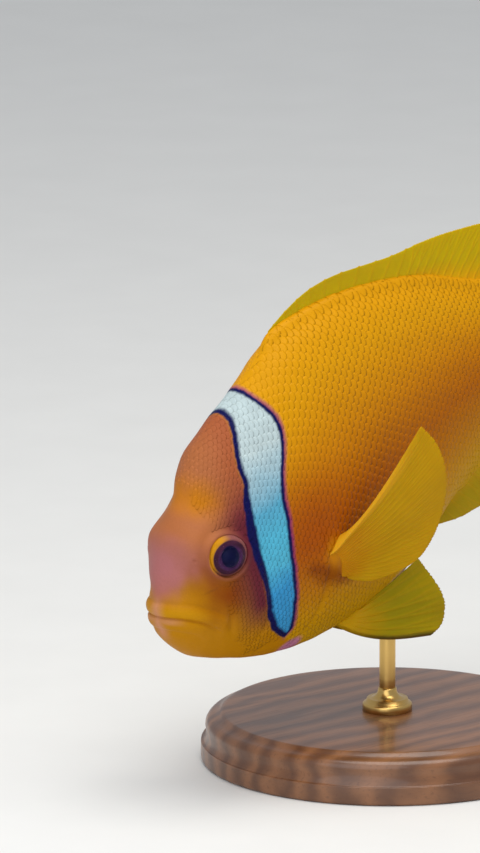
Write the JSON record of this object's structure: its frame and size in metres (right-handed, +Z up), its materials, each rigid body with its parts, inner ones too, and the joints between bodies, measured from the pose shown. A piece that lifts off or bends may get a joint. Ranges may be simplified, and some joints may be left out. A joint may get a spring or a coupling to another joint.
{
  "type": "clownfish model on a display stand",
  "caption": "Life-size orange reef fish with a deep body, one pale head bar and rounded fins, tipped head down on a rod above a round flat foot.",
  "frame": {"origin": "middle of the stand's flat underside, straight below the rod", "axes": "+Z up, the fish heads towards -X and its left side faces -Y"},
  "size_m": [0.1112, 0.06, 0.0906],
  "materials": {
    "head_skin": "painted scales, salmon to orange-brown, with a pale blue bar",
    "body_skin": "painted scales, golden orange back and orange-brown flanks",
    "fin": "thin rayed fin, olive gold",
    "eye": "wet gloss, dark purple-brown iris and black pupil",
    "stand_wood": "dark oiled wood",
    "stand_metal": "satin"
  },
  "bodies": {
    "root": {"head": "head_skin", "upper_jaw": "head_skin", "lower_jaw": "head_skin", "gill_cover_left": "head_skin", "gill_cover_right": "head_skin", "eye_left": "eye", "eye_right": "eye", "trunk": "body_skin", "tail_stem": "body_skin", "dorsal_fin_spiny": "fin", "dorsal_fin_soft": "fin", "anal_fin": "fin", "tail_fin": "fin", "pectoral_fin_left": "fin", "pectoral_fin_right": "fin", "pelvic_fin_left": "fin", "pelvic_fin_right": "fin", "stand_base": "stand_wood", "stand_collar": "stand_metal", "stand_rod": "stand_metal"}
  },
  "joints": []
}
